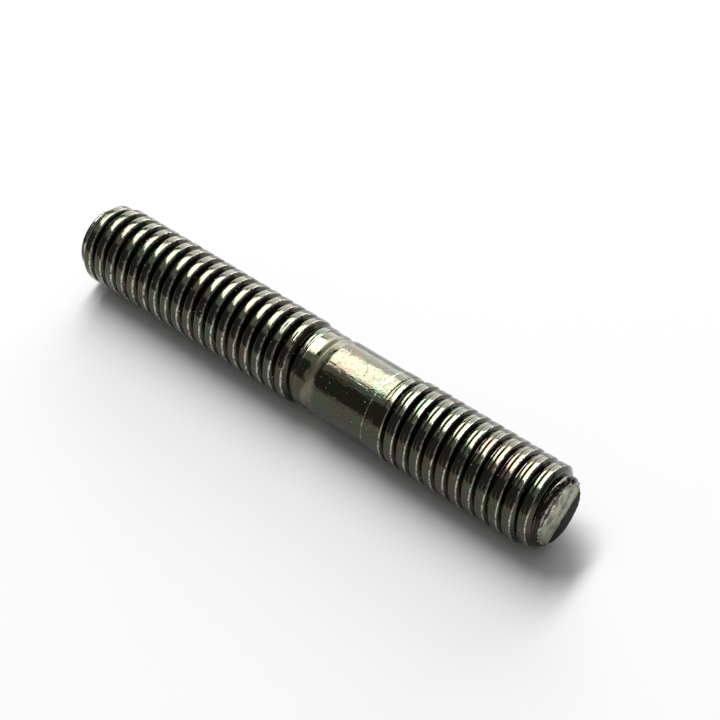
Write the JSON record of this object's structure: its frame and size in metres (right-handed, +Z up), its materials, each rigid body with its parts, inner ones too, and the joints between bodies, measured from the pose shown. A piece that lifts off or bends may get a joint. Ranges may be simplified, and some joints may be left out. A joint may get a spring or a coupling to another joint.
{
  "type": "double ended stud",
  "caption": "Straight steel stud with a right-hand thread on both ends, one long and one short, a plain shank between them, a slight waist beside the long thread, and chamfered, flat ends.",
  "frame": {"origin": "on the surface the stud lies on, below the middle of its axis", "axes": "+X along the stud's axis from the long thread to the short one, +Z up, +Y square to both; the axis lies 3.92 mm above the origin, and the long thread's crest crosses the underside 0.63 mm from its end"},
  "size_m": [0.0536, 0.0078, 0.0078],
  "materials": {
    "plated_steel": "dark zinc plate, glossy, with faint green and brown tints"
  },
  "bodies": {
    "root": {"double_ended_stud": "plated_steel"}
  },
  "joints": []
}
